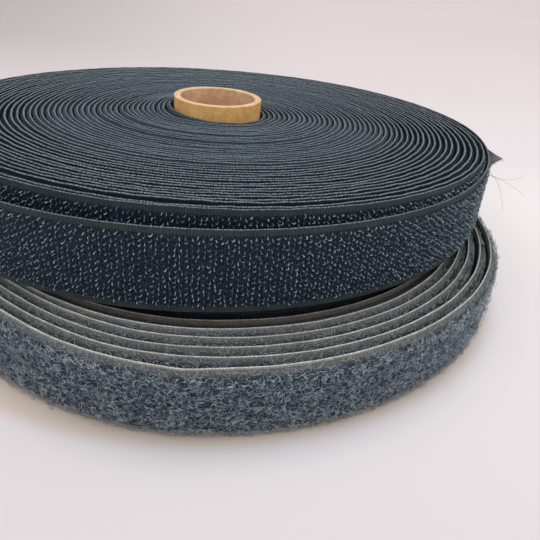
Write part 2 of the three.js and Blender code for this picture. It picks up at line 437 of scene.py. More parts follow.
def linear(code):
    """Linear colour of an sRGB hex value."""
    parts = [int(code[i:i + 2], 16) / 255 for i in (1, 3, 5)]
    return tuple(c / 12.92 if c <= 0.04045 else ((c + 0.055) / 1.055) ** 2.4 for c in parts) + (1,)


# Settings that several nodes share
SMOOTH = {"interpolation_type": "SMOOTHSTEP"}
COLOURS = {"data_type": "RGBA"}
MULTIPLIED = {"data_type": "RGBA", "blend_type": "MULTIPLY"}


def add_node(owner, kind, *inputs, stops=(), output=None, **settings):
    """Adds a node to a material or a world and gives its first output in use, or the one named.
    Settings are properties in lower case and inputs with a capital. An input, in order or by name,
    takes a number, a hex colour or another node's output. Stops are a colour ramp's places and
    hex colours."""
    node = owner.node_tree.nodes.new(f"ShaderNode{kind}")
    named = []
    for key, value in settings.items():
        if key[0].isupper():
            named.append((node.inputs[key], value))
        else:
            setattr(node, key, value)
    in_order = [socket for socket in node.inputs if socket.enabled]
    for socket, value in [*zip(in_order, inputs), *named]:
        if isinstance(value, bpy.types.NodeSocket):
            owner.node_tree.links.new(value, socket)
        else:
            socket.default_value = linear(value) if isinstance(value, str) else value
    for k, (place, colour) in enumerate(stops):
        points = node.color_ramp.elements
        point = points[k] if k < len(points) else points.new(place)
        point.position = place
        point.color = linear(colour)
    in_use = [socket for socket in node.outputs if socket.enabled]
    return node.outputs[output] if output else in_use[0]


def new_material(name, colour, roughness, ior=1.5, **sockets):
    """A new material, and the call that adds nodes to it."""
    material = bpy.data.materials.new(name)
    material.use_nodes = True
    shader = material.node_tree.nodes["Principled BSDF"]
    shader.inputs["Base Color"].default_value = linear(colour)
    shader.inputs["Roughness"].default_value = roughness
    shader.inputs["IOR"].default_value = ior
    for socket, value in sockets.items():
        shader.inputs[socket.replace("_", " ")].default_value = value
    return material, partial(add_node, material)


def dress(material, colour, relief=None):
    """Links a pattern's colour, and its relief if it has one, to the material's shader."""
    shader = material.node_tree.nodes["Principled BSDF"]
    material.node_tree.links.new(colour, shader.inputs["Base Color"])
    if relief is not None:
        material.node_tree.links.new(relief, shader.inputs["Normal"])
    return material


def from_edge(add, height):
    """Distance from the nearer edge of the tape, in millimetres."""
    middle = TAPE_WIDTH / MM / 2
    from_middle = add("Math", add("Math", height, middle, operation="SUBTRACT"), operation="ABSOLUTE")
    return add("Math", middle, from_middle, operation="SUBTRACT")


def waves(add, value, length):
    """A smooth stripe from 0 to 1, of this length in millimetres."""
    turned = add("Math", value, TURN / length, operation="MULTIPLY")
    return add("Math", add("Math", turned, operation="SINE"), 0.5, 0.5, operation="MULTIPLY_ADD")


def grain(add, vector, size, detail=2.0, seed=0.0):
    """Soft noise from 0 to 1, whose patches are about this size in the vector's unit."""
    moved = add("Mapping", vector, Location=(seed, seed, 0))
    return add("TexNoise", moved, Scale=1 / size, Detail=detail)


def curls(add, vector, size, width, seed):
    """Thin curling lines: the places where a noise is halfway between its lows and highs."""
    moved = add("Mapping", vector, Location=(seed, 1.7 * seed, 0))
    noise = add("TexNoise", moved, Scale=1 / size, Detail=1.0, Distortion=0.6)
    away = add("Math", add("Math", noise, 0.5, operation="SUBTRACT"), operation="ABSOLUTE")
    return add("MapRange", away, 0.0, width, 1.0, 0.0)


# Spacing of the edge stitches, of the weft's ribs and of the warp, in millimetres
STITCH_MM = 0.62
RIB_MM = 0.66
WARP_MM = 0.5


def woven_nylon(name, edge, stitch, selvedge, hollow, rib, bare_mm, fade_mm, cut=None, faded_near_core=None):
    """Woven nylon webbing, matt. Where the weft turns back, each edge is a row of fine twisted
    stitches. Beside it runs a plain bare strip, and under the hooks or pile the ribs of the
    weft stand over dark hollows. A tape cut with scissors is bleached over its last millimetres;
    on the tape's back this pale zone is partly painted light. Where asked, the colours are
    mixed towards a mid blue-grey nearer the core, which dulls the stitches and makes the
    painted shade of the gaps paler."""
    material, add = new_material(name, selvedge, 0.82, 1.53, Specular_IOR_Level=0.16, Sheen_Weight=0.03)
    uv = add("UVMap", uv_map="tape_mm")
    run, height = (add("SeparateXYZ", uv, output=axis) for axis in "XY")
    edge_mm = from_edge(add, height)

    slanting = add("Math", edge_mm, 1.2, run, operation="MULTIPLY_ADD")
    uneven = add("Math", grain(add, uv, 1.5, 1.0), 1.9, slanting, operation="MULTIPLY_ADD")
    fine = add("MapRange", grain(add, uv, 0.5, 2.0, 9.0), 0.36, 0.64, **SMOOTH)
    twist = add("Math", waves(add, uneven, STITCH_MM), fine, operation="ADD")
    twist = add("Math", twist, 0.5, operation="MULTIPLY")
    rope = add("Mix", twist, stitch, edge, **COLOURS)

    ribs = waves(add, run, RIB_MM)
    warp = add("Math", waves(add, height, WARP_MM), 0.65, 0.35, operation="MULTIPLY_ADD")
    weave = add("Math", ribs, warp, fine, operation="MULTIPLY_ADD")
    weave = add("Math", weave, 0.6, operation="MULTIPLY")
    ground = add("Mix", weave, hollow, rib, **COLOURS)
    ribbed = add("Math", ribs, 0.4, 0.8, operation="MULTIPLY_ADD")
    bare = add("Mix", 1.0, selvedge, ribbed, **MULTIPLIED)
    colour = add("Mix", add("MapRange", edge_mm, 0.03, 0.15, **SMOOTH), rope, bare, **COLOURS)
    covered = add("MapRange", edge_mm, bare_mm - fade_mm, bare_mm + 0.3, **SMOOTH)
    colour = add("Mix", covered, colour, ground, **COLOURS)
    if faded_near_core:
        # Mixed towards a mid blue-grey near the core: duller stitches and paler painted shade in the gaps
        near_core = add("MapRange", run, *faded_near_core, 0.45, 0.0, **SMOOTH)
        colour = add("Mix", near_core, colour, "#5a656d", **COLOURS)

    patches = add("Math", grain(add, uv, 3.2, 3.0, 5.0), grain(add, uv, 110.0, 2.0, 13.0), operation="ADD")
    patches = add("Math", patches, 0.85, 0.15, operation="MULTIPLY_ADD")
    specks = add("Math", fine, 0.36, 0.82, operation="MULTIPLY_ADD")
    shade = add("Math", patches, specks, operation="MULTIPLY")
    colour = add("Mix", 1.0, colour, shade, **MULTIPLIED)
    if cut:
        colour_at_cut, run_at_cut, slope, reach = cut
        to_cut = add("Math", run_at_cut, run, operation="SUBTRACT")
        to_cut = add("Math", height, slope, to_cut, operation="MULTIPLY_ADD")
        frayed = add("MapRange", to_cut, 0.0, reach, **SMOOTH)
        colour = add("Mix", frayed, colour_at_cut, colour, **COLOURS)
    relief = add("Math", add("Math", weave, twist, operation="ADD"), 0.5, operation="MULTIPLY")
    return dress(material, colour, add("Bump", Height=relief, Distance=0.12 * MM, Strength=0.7))


def monofilament():
    """Stiff nylon monofilament, extruded and heat-set: smooth, so each hook takes a small glint."""
    material, add = new_material("nylon_monofilament_hooks", "#6f7e8b", 0.36, 1.53)
    tone = grain(add, add("UVMap", uv_map="tape_mm"), 1.1, 1.0)
    tones = [(0.34, "#34424f"), (0.5, "#728391"), (0.66, "#b4c2cc")]
    return dress(material, add("ValToRGB", tone, stops=tones))


# Heights up the tape, in millimetres, between which the pile turns pale at its upper edge
PALE_TOP = (18.0, 19.4)


def pile_under_fibres():
    """Brushed nylon pile seen deep down: dark between its matted curls, soft and matt."""
    sockets = {"Specular_IOR_Level": 0.16, "Sheen_Weight": 0.05}
    material, add = new_material("nylon_pile_under", "#262d36", 0.9, 1.53, **sockets)
    uv = add("UVMap", uv_map="tape_mm")
    height = add("SeparateXYZ", uv, output="Y")
    lines = add("Math", curls(add, uv, 1.0, 0.05, 3.0), curls(add, uv, 0.8, 0.05, 11.0), operation="MAXIMUM")
    lines = add("Math", lines, curls(add, uv, 1.3, 0.04, 23.0), operation="MAXIMUM")
    tones = [(0.36, "#232c35"), (0.5, "#2a343e"), (0.66, "#333e48")]
    dark = add("ValToRGB", grain(add, uv, 5.0, 2.0, 31.0), stops=tones)
    dark = add("Mix", add("MapRange", height, *PALE_TOP, **SMOOTH), dark, "#7f8280", **COLOURS)
    # Paler towards the tape's foot: painted light, for the light from the table below
    dark = add("Mix", add("MapRange", height, 2.4, 0.2, **SMOOTH), dark, "#5e6261", **COLOURS)
    colour = add("Mix", lines, dark, "#5d6873", **COLOURS)
    return dress(material, colour, add("Bump", Height=lines, Distance=0.25 * MM, Strength=0.9))


def pile_fibres():
    """Brushed nylon pile, its single crimped fibres: matt, with a soft sheen along each."""
    sockets = {"Specular_IOR_Level": 0.2, "Sheen_Weight": 0.05}
    material, add = new_material("nylon_pile_loops", "#76818b", 0.75, 1.53, **sockets)
    uv = add("UVMap", uv_map="tape_mm")
    height = add("SeparateXYZ", uv, output="Y")
    broad = add("Math", grain(add, uv, 4.5, 2.0, 7.0), 0.3, operation="MULTIPLY")
    tone = add("Math", grain(add, uv, 0.9, 1.0), 0.7, broad, operation="MULTIPLY_ADD")
    tones = [(0.38, "#56626d"), (0.5, "#8f9ba5"), (0.62, "#c6cfd3")]
    colour = add("ValToRGB", tone, stops=tones)
    colour = add("Mix", add("MapRange", height, *PALE_TOP, **SMOOTH), colour, "#9c9e99", **COLOURS)
    # Paler towards the tape's foot: painted light, for the light from the table below
    colour = add("Mix", add("MapRange", height, 2.6, 0.2, **SMOOTH), colour, "#b3b6ae", **COLOURS)
    return dress(material, colour)


def paper(name, colour, dark, light, fibre_mm):
    """Uncoated paper board: matt, mottled by its pulp."""
    material, add = new_material(name, colour, 0.85, 1.5)
    place = add("TexCoord", output="Object")
    fibres = grain(add, place, fibre_mm * MM, 4.0)
    tone = add("Math", fibres, grain(add, place, 5 * MM, 2.0), operation="ADD")
    tone = add("Math", tone, 0.5, operation="MULTIPLY")
    shade = add("ValToRGB", tone, stops=[(0.36, dark), (0.5, colour), (0.64, light)])
    return dress(material, shade, add("Bump", Height=fibres, Distance=0.08 * MM, Strength=0.7))


hook_cut = (run_at(hook, hook.turns) + hook.end_length - hook.cut_back) / MM
hook_cut_slope = hook.cut_back / TAPE_WIDTH
# Hook tape's woven ground: nylon, dark navy, with light grey-blue stitches along its edges
hook_colours = ("#84919a", "#3b464b", "#343b3d", "#060c13", "#293643", hook.bare_edge / MM, 0.3)
hook_weave = woven_nylon("woven_nylon_navy", *hook_colours)
# The same tape where it is wound tight, with painted light and shade: brighter stitches for the light they
# catch, over a darker bare strip painted as the shade in the gaps between turns
packed_shaded_colours = ("#8e9aa1", "#39444a", "#272f33", "#0e161e", "#202b34", 0.55, 0.35)
# Nearer the core the packed turns fade towards a mid blue-grey, which pales their painted gap shade
faded_near_core = (run_at(hook, -15) / MM, run_at(hook, -2) / MM)
hook_packed_shaded_weave = woven_nylon("woven_nylon_navy_packed_shaded", *packed_shaded_colours, faded_near_core=faded_near_core)
# The same tape where it was cut: the loose ends of its yarns are paler and olive
at_cut = ("#8a8c78", hook_cut, hook_cut_slope, 5.0)
hook_cut_weave = woven_nylon("woven_nylon_navy_cut", *hook_colours, at_cut)
# The tape's back: plain weave without hooks, greyer. Its colours are painted lighter than the tape's own, as
# painted light for the shade between the free end and the roll, and they are paler still over the last
# centimetre, partly bleached yarn and partly painted light
hook_back_painted_light_colours = ("#a3b0ba", "#8e9ba6", "#8896a1", "#71808d", "#8f9da9", hook.bare_edge / MM, 0.3)
at_cut = ("#d3d6ca", hook_cut, hook_cut_slope, 9.0)
hook_back_painted_light_weave = woven_nylon("woven_nylon_navy_back_painted_light", *hook_back_painted_light_colours, at_cut)
# Loop tape's woven ground: nylon, blue-grey, with a thin pale line and a warm grey bare strip
loop_colours = ("#cdcbc1", "#b4b3aa", "#a3a39b", "#262e37", "#46515b", loop.bare_edge / MM, 1.0)
loop_weave = woven_nylon("woven_nylon_blue_grey", *loop_colours)
# Its turns further in have a warmer, darker bare strip: painted shade, for the shadow that the hook roll
# casts on them with warm light bounced into it
loop_inner_shaded_colours = ("#a19c91", "#88837a", "#78746b", "#262e37", "#46515b", loop.bare_edge / MM, 1.0)
loop_inner_shaded_weave = woven_nylon("woven_nylon_blue_grey_inner_shaded", *loop_inner_shaded_colours)
hook_filament = monofilament()
pile_ground = pile_under_fibres()
pile_fibre = pile_fibres()
# Kraft face ply, golden brown and slightly calendered
kraft = paper("kraft_face_paper", "#e8b065", "#d39b54", "#f4c27d", 0.9)
# Greyboard plies inside the tube
liner = paper("greyboard_liner", "#d6ae85", "#c39b74", "#e3c09b", 1.1)
# The same plies where a saw has cut them, pale and fluffy
cut_board = paper("cut_greyboard", "#e6c096", "#d6aa7c", "#f2d4b0", 0.6)


# Pieces of the hook roll

HOOK_ROWS = 13
HOOK_COLUMN = 1.15 * MM
HOOK_BAND = TAPE_WIDTH - 2 * hook.bare_edge
HOOK_ROW = HOOK_BAND / HOOK_ROWS
HOOK_LENGTH = 0.58 * MM
HOOK_TWIST = 0.9 * MM
HOOK_RADIUS = 0.11 * MM
PACKED_BASE = 0.6 * MM
PACKED_BAND = 0.6 * MM


def hook_shape(size):
    """A loop of monofilament cut open: it rises, turns over and ends short of the weave."""
    bent_shares = [
        (-0.45, 0, 0), (-0.42, 0.55, 0), (-0.2, 0.9, 0),
        (0.12, 1, 0.03), (0.38, 0.78, 0.12), (0.46, 0.5, 0.3),
    ]
    scale = np.array([HOOK_LENGTH * size, hook.face * size ** 0.5, HOOK_TWIST * size])
    return strand(np.array(bent_shares) * scale, HOOK_RADIUS)


def hooks_between(name, start, end, rows, seed, cut_back=0):
    """Hooks in columns across the tape. The columns lean one way and the other by turns."""
    chance = np.random.default_rng(seed)
    shapes = np.array([hook_shape(size) for size in (0.7, 0.85, 1.0, 1.15)])
    column, row = np.meshgrid(np.arange(int((end - start) / HOOK_COLUMN)), list(rows), indexing="ij")
    column, row = column.ravel(), row.ravel()
    side = np.where(column % 2, 1.0, -1.0)
    lean = math.radians(62) + chance.normal(0, 0.3, len(row))
    run = start + (column + 0.5) * HOOK_COLUMN + chance.normal(0, 0.15 * MM, len(row))
    height = hook.bare_edge + (row + 0.5 + 0.2 * side) * HOOK_ROW
    height = height + chance.normal(0, 0.19 * MM, len(row))
    pick = chance.integers(0, len(shapes), len(row))
    kept = run < end - cut_back * (1 - height / TAPE_WIDTH) - 0.8 * MM * (cut_back > 0)
    turned = upright_turns(side * np.cos(lean), -np.sin(lean))
    at = np.stack([run, 0 * run + hook.base * 0.9, height], axis=1)
    return many(name, shapes, pick[kept], turned[kept], at[kept], hook)


def make_hook_turns():
    """All the turns but the last two, from the core outwards."""
    marks = [run_at(hook, turns) for turns in (hook.start, -7, 2, hook.turns - 2)]
    packed, outer = "hook_tape_packed_turns", "hook_tape_outer_turns"
    for k, (name, step, bare, node) in enumerate([
        ("hook_tape_inner_turns", 2.6 * MM, 0.5 * MM, packed),
        ("hook_tape_wound_turns", 2.6 * MM, 1.0 * MM, packed),
        ("hook_tape_front_turns", 0.9 * MM, 1.0 * MM, outer),
    ]):
        strip = flat_strip(name, marks[k], marks[k + 1], step, [0, bare, TAPE_WIDTH - bare, TAPE_WIDTH])
        wind_strip(thicken_strip(strip, PACKED_BASE, PACKED_BAND, bare), hook)
        # These turns take the copy of the tape with painted light and shade
        finish_piece(strip, "hook_pack", "hook_tape", hook_packed_shaded_weave)
        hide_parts(node)


def make_hook_last_turns():
    before, start, end = (run_at(hook, hook.turns - back) for back in (2, 1, 0))
    strip = flat_strip("hook_tape_last_turns", before, end, 1.2 * MM, np.linspace(0, TAPE_WIDTH, 9))
    wind_strip(thicken_strip(strip, hook.base), hook)
    finish_piece(strip, "hook_pack", "hook_tape", hook_weave)
    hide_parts("hook_tape_outer_turns")
    middle = (start + end) / 2
    everywhere, upper = range(HOOK_ROWS), range(HOOK_ROWS - 6, HOOK_ROWS)
    for name, low, high, rows, seed in [
        ("hooks_last_turn_first_half", start, middle, everywhere, 11),
        ("hooks_last_turn_second_half", middle, end, everywhere, 12),
        ("hooks_turn_before_upper_rows", before, start, upper, 13),
    ]:
        finish_piece(hooks_between(name, low, high, rows, seed), "hook_pack", "hook_tape", hook_filament)


def make_hook_end():
    start = run_at(hook, hook.turns)
    end = start + hook.end_length
    strip = flat_strip("hook_tape_cut_end", start, end, 1.2 * MM, np.linspace(0, TAPE_WIDTH, 15))
    thicken_strip(strip, hook.base)
    for face in strip.data.polygons:
        face.material_index = int(face.center.y < NEAR)
    wind_strip(strip, hook, hook.cut_back)
    # The back's faces take the colours with painted light
    finish_piece(strip, "hook_tape_end", "hook_tape", hook_cut_weave, hook_back_painted_light_weave, bends=hook)
    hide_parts("hook_tape_free_end")
    hooks = hooks_between("hooks_cut_end", start, end, range(HOOK_ROWS), 14, hook.cut_back)
    finish_piece(hooks, "hook_tape_end", "hook_tape", hook_filament, bends=hook)
    make_frayed_yarns(end)
    make_loose_hairs(end)


THREAD_RADIUS = 0.07 * MM
YARN_SHAPES = 6
YARN_COUNT = 90
YARN_INSET = 0.3 * MM


def make_frayed_yarns(end):
    """Short ends of yarn that stand out of the slanting cut."""
    chance = np.random.default_rng(15)
    shapes = []
    for k in range(YARN_SHAPES):
        length = chance.uniform(0.7, 1.7) * MM
        sideways = chance.uniform(-0.5, 0.5) * length
        path = [(0, 0, 0), (0.4 * length, 0.1 * MM, 0.2 * sideways), (length, 0.3 * MM, sideways)]
        shapes.append(strand(path, THREAD_RADIUS, tip=0.4))
    height = np.linspace(YARN_INSET, TAPE_WIDTH - YARN_INSET, YARN_COUNT)
    run = end - hook.cut_back * (1 - height / TAPE_WIDTH) - YARN_INSET
    lean = chance.normal(0, 0.25, YARN_COUNT)
    out = hook.base * chance.uniform(0.1, 0.9, YARN_COUNT)
    picks = chance.integers(0, YARN_SHAPES, YARN_COUNT)
    turned = upright_turns(np.cos(lean), np.sin(lean))
    at = np.stack([run, out, height], axis=1)
    piece = many("hook_tape_frayed_yarns", np.array(shapes), picks, turned, at, hook)
    finish_piece(piece, "hook_tape_end", "hook_tape", hook_cut_weave)


def make_loose_hairs(end):
    """Three long fine filaments pulled out of the cut edge, that curl down beside it."""
    height_share = 0.64
    at_cut = end - (1 - height_share) * hook.cut_back
    root = wind(hook, *np.array([[at_cut], [hook.base / 2], [height_share * TAPE_WIDTH]]))
    hairs_mm = np.array([
        [(-0.2, 0, 0), (3.4, 0, -1.3), (6, 0, -3.6), (7.9, 0, -6.8), (9.6, 0, -10.4), (10.6, 0, -13.6)],
        [(-0.2, 0, 0), (3.6, 0, -1.5), (7.3, 0.2, -3), (10.6, 0.2, -4.2), (13.6, 0.1, -6), (16.8, 0, -7.8)],
        [(-0.2, 0, 0.1), (1.8, 0.1, -1), (4.9, 0.2, -2.3),
         (8.5, 0.2, -2.9), (12.3, 0.1, -1.8), (15.4, 0, 0.1)],
    ])
    known, share = np.linspace(0, 1, hairs_mm.shape[1]), np.linspace(0, 1, 14)
    hairs = []
    for path in hairs_mm * MM:
        bend = [np.polyval(np.polyfit(known, line, 3), share) for line in path.T]
        hairs.append(strand(np.stack(bend, axis=1) + root, THREAD_RADIUS, tip=0.5))
    piece = add_mesh("hook_tape_loose_hairs", np.concatenate(hairs), strand_faces(len(hairs[0]), len(hairs)))
    lay_tape_map(piece, corners(piece) * 0 + np.array([at_cut, 0, TAPE_WIDTH / 2]))
    finish_piece(piece, "hook_tape_end", "hook_tape", pile_fibre)


# Pieces of the loop roll

PILE_LOW = 0.2 * MM
PILE_HIGH = TAPE_WIDTH - 0.7 * MM
PILE_SWELLING = 1.3
PILE_PATCH = 1.0 * MM
FIBRE_RADIUS = 0.065 * MM
PATCH_GRID = (257, 17)


def patchy(along, across, cell, seed):
    """Smooth patches from 0 to 1 over a flat piece, of this cell size."""
    chance = np.random.default_rng(seed)
    grid = chance.random(PATCH_GRID)
    x, y = along / cell, across / cell
    i, j = np.floor(x).astype(int), np.floor(y).astype(int)
    fx, fy = x - i, y - j
    fx, fy = fx * fx * (3 - 2 * fx), fy * fy * (3 - 2 * fy)

    def at(a, b):
        return grid[a % PATCH_GRID[0], b % PATCH_GRID[1]]

    low = at(i, j) * (1 - fx) + at(i + 1, j) * fx
    high = at(i, j + 1) * (1 - fx) + at(i + 1, j + 1) * fx
    return low * (1 - fy) + high * fy


def fibre_shapes(seed, count=16):
    """Crimped loops of pile yarn, each a short strand that curls over."""
    chance = np.random.default_rng(seed)
    shapes = []
    for k in range(count):
        reach = chance.uniform(0.5, 1.0) * MM
        curl = chance.uniform(1.6, 4.2) * chance.choice([-1, 1])
        bow = chance.uniform(0.15, 0.5) * MM
        share = np.linspace(-0.5, 0.5, 5)
        path = np.stack([
            reach * np.sin(curl * share) * 2 / abs(curl) * 1.6,
            bow * np.cos(math.pi * share) - 0.1 * MM,
            reach * (1 - np.cos(curl * share)) * 2 / curl * 1.6,
        ], axis=1)
        shapes.append(strand(path, FIBRE_RADIUS, tip=0.7))
    return np.array(shapes)


def pile_ease(height, low, high):
    """The pile is full right down to the tape's foot and thins out towards its pale upper edge."""
    return smoothstep(height - low, -0.4 * MM, 0.5 * MM) * smoothstep(high - height, -0.2 * MM, 1.3 * MM)


def pile_between(name, start, end, low, high, per_mm2, swelling, most, seed):
    """Loose fibres lying in and on the pile, a few of them standing out of it."""
    chance = np.random.default_rng(seed)
    shapes = fibre_shapes(seed)
    count = int((end - start) * (high - low) / MM ** 2 * per_mm2)
    run = chance.uniform(start, end, count)
    height = chance.uniform(low, high, count)
    lift = swelling * (0.7 + 0.27 * patchy(run + 1, height + 1, PILE_PATCH, seed))
    lift = lift + chance.exponential(0.15, count)
    out = loop.base + loop.face * np.minimum(lift, most) * (0.2 + 0.8 * pile_ease(height, low, high))
    angle = chance.uniform(0, TURN, count)
    at = np.stack([run, out, height], axis=1)
    turned = upright_turns(np.cos(angle), np.sin(angle))
    return many(name, shapes, chance.integers(0, len(shapes), count), turned, at, loop)


def pile_cushion(name, start, end, swelling, seed):
    """The matted pile under the loose fibres, swelling and sinking in patches."""
    rows = np.linspace(PILE_LOW, PILE_HIGH, 21)
    strip = flat_strip(name, start, end, PILE_PATCH, rows)
    raise_strip(strip, loop.face)
    flat = corners(strip)
    share = flat[:, 1] / loop.face
    swell = 0.6 + 0.24 * patchy(flat[:, 0] + 1, flat[:, 2] + 1, PILE_PATCH, seed)
    swell += 0.07 * patchy(flat[:, 0] + 1, flat[:, 2] + 1, 5 * PILE_PATCH, seed + 1)
    ease = pile_ease(flat[:, 2], rows[0], rows[-1])
    flat[:, 1] = loop.base * 0.8 + share * loop.face * swelling * swell * (0.1 + 0.9 * ease)
    place_corners(strip, flat)
    wind_strip(strip, loop)
    return strip


def make_loop_turns():
    """The turns under the loose ones, from the core outwards."""
    start, end = run_at(loop, loop.start), run_at(loop, loop.turns - 5)
    rows = [0, loop.bare_edge, TAPE_WIDTH - loop.bare_edge, TAPE_WIDTH]
    strip = flat_strip("loop_tape_wound_turns", start, end, 3.4 * MM, rows)
    wind_strip(thicken_strip(strip, loop.base, loop.face * 0.85, loop.bare_edge), loop)
    # These turns take the loop tape's colours darkened with painted shade
    finish_piece(strip, "loop_pack", "loop_tape", loop_inner_shaded_weave)
    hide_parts("loop_tape_packed_turns")


def make_loop_outer_turns():
    start, last, end = (run_at(loop, loop.turns - back) for back in (5, 1, 0))
    strip = flat_strip("loop_tape_loose_turns", start, end, 2.2 * MM, np.linspace(0, TAPE_WIDTH, 9))
    wind_strip(thicken_strip(strip, loop.base), loop)
    finish_piece(strip, "loop_pack", "loop_tape", loop_weave)
    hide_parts("loop_tape_outer_turns")
    for name, low, high, swelling, seed in [
        ("loop_pile_loose_turns", start, last, 1.0, 21),
        ("loop_pile_last_turn", last, end, PILE_SWELLING, 23),
    ]:
        finish_piece(pile_cushion(name, low, high, swelling, seed), "loop_pack", "loop_tape", pile_ground)
    # On the last turn the fibres cover the whole width; on the others only their upper rim shows
    for name, marks, pile_low, per_mm2, swelling, most, seed in [
        ("loop_fibres_last_turn", np.linspace(last, end, 5), PILE_LOW, 2.5, PILE_SWELLING, 2.0, 31),
        ("loop_fibres_loose_turns", np.linspace(start, last, 3), PILE_HIGH - 3.6 * MM, 1.9, 1, 1.2, 41),
    ]:
        for k, (low, high) in enumerate(zip(marks, marks[1:])):
            place = (f"{name}_{k + 1}", low, high, pile_low, PILE_HIGH)
            piece = pile_between(*place, per_mm2, swelling, most, seed + k)
            finish_piece(piece, "loop_pack", "loop_tape", pile_fibre)


def make_loop_end():
    start = run_at(loop, loop.turns)
    end = start + loop.end_length
    strip = flat_strip("loop_tape_cut_end", start, end, 1.6 * MM, np.linspace(0, TAPE_WIDTH, 11))
    wind_strip(thicken_strip(strip, loop.base), loop)
    finish_piece(strip, "loop_tape_end", "loop_tape", loop_weave, bends=loop)
    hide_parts("loop_tape_free_end")
    cushion = pile_cushion("loop_pile_cut_end", start, end, PILE_SWELLING, 25)
    finish_piece(cushion, "loop_tape_end", "loop_tape", pile_ground, bends=loop)
    fibres = pile_between("loop_fibres_cut_end", start, end, PILE_LOW, PILE_HIGH, 1.9, PILE_SWELLING, 1.9, 45)
    finish_piece(fibres, "loop_tape_end", "loop_tape", pile_fibre, bends=loop)


# Paper cores

BORE_RADIUS = 12.7 * MM
SEAM_WIDTH = 0.12 * MM
SEAM_LEAN = math.radians(33)
# The gap that the solids leave between the plies is filled, but for the line where they are glued
PLIES_FILL = 0.25 * MM
GLUE_LINE = 0.02 * MM


def finish_tube(tube, centre, tilt, shift):
    """Gives a tube its wall and soft edges, marks its cut ends, and stands it in its place."""
    apply_modifiers(tube)
    for face in tube.data.polygons:
        face.material_index = int(abs(face.normal.z) > 0.35)
    turned = Matrix.Rotation(tilt[0], 4, "X") @ Matrix.Rotation(tilt[1], 4, "Y")
    tube.data.transform(Matrix.Translation(centre + Vector(shift)) @ turned)
    smooth(tube, 50)


def soft_edges(tube, width):
    edge = tube.modifiers.new("edge", "BEVEL")
    edge.width = width
    edge.segments = 3
    edge.limit_method = "ANGLE"


def make_core(kind, seam_angle, tilt=(0, 0), shift=(0, 0, 0)):
    """A paper tube: glued inner plies under one face ply, its edges meeting in a slanting seam."""
    low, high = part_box(f"{kind}_core_inner_plies")
    centre = Vector((CORE_AXIS.x, CORE_AXIS.y, (low.z + high.z) / 2))
    length = high.z - low.z
    plies_radius = (high.x - low.x) / 2
    outer_radius = plies_radius + PLIES_FILL
    face_low, face_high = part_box(f"{kind}_core_face_ply")
    core_radius = (face_high.x - face_low.x) / 2

    select_none()
    bpy.ops.mesh.primitive_cylinder_add(
        vertices=96, radius=outer_radius, depth=length, end_fill_type="NOTHING")
    plies = bpy.context.object
    plies.name = plies.data.name = f"{kind}_core_liner"
    wall = plies.modifiers.new("wall", "SOLIDIFY")
    wall.thickness = outer_radius - BORE_RADIUS
    wall.offset = -1
    soft_edges(plies, 0.45 * MM)

    select_none()
    bpy.ops.mesh.primitive_grid_add(x_subdivisions=96, y_subdivisions=8, size=2)
    ply = bpy.context.object
    ply.name = ply.data.name = f"{kind}_core_face"
    flat = corners(ply)
    height = flat[:, 1] * (length / 2 - 0.1 * MM)
    half_way = math.pi - SEAM_WIDTH / core_radius / 2
    angle = seam_angle + math.pi + flat[:, 0] * half_way + height * math.tan(SEAM_LEAN) / core_radius
    uneven = 1 + 0.004 * np.sin(3 * angle) * (height > 0)
    places = [core_radius * uneven * np.cos(angle), core_radius * uneven * np.sin(angle), height]
    place_corners(ply, np.stack(places, axis=1))
    wall = ply.modifiers.new("wall", "SOLIDIFY")
    wall.thickness = core_radius - outer_radius - GLUE_LINE
    wall.offset = -1
    soft_edges(ply, 0.15 * MM)

    for tube, slot, node, paper_kind in [
        (plies, "core_liner_paper", "inner_plies", liner),
        (ply, "core_face_paper", "face_ply", kraft),
    ]:
        finish_tube(tube, centre, tilt, shift)
        finish_piece(tube, f"{kind}_core", slot, paper_kind, cut_board)
        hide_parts(f"{kind}_core_{node}")


# Camera, floor and light

CAMERA_PITCH = math.radians(28.65)
CAMERA_ROLL = math.radians(4.98)
# Where the camera stands, from the core's axis at the foot of the hook roll
CAMERA_OFFSET = Vector((22.71, -190.85, 63.12)) * MM


def make_camera():
    """A close wide view from above the front, tilted a little to one side."""
    pitch, turn = CAMERA_PITCH, CAMERA_ROLL
    data = bpy.data.cameras.new("camera")
    data.sensor_width = 36
    data.lens = 36
    data.clip_start = 0.005
    camera = bpy.data.objects.new("camera", data)
    bpy.context.scene.collection.objects.link(camera)
    ahead = Vector((0, math.cos(pitch), -math.sin(pitch)))
    right = Vector((1, 0, 0))
    up = right.cross(ahead)
    side = right * math.cos(turn) + up * math.sin(turn)
    top = up * math.cos(turn) - right * math.sin(turn)
    place = Vector((CORE_AXIS.x, CORE_AXIS.y, hook.foot)) + CAMERA_OFFSET
    camera.matrix_world = Matrix((
        (side.x, top.x, -ahead.x, place.x),
        (side.y, top.y, -ahead.y, place.y),
        (side.z, top.z, -ahead.z, place.z),
        (0, 0, 0, 1),
    ))
    bpy.context.scene.camera = camera


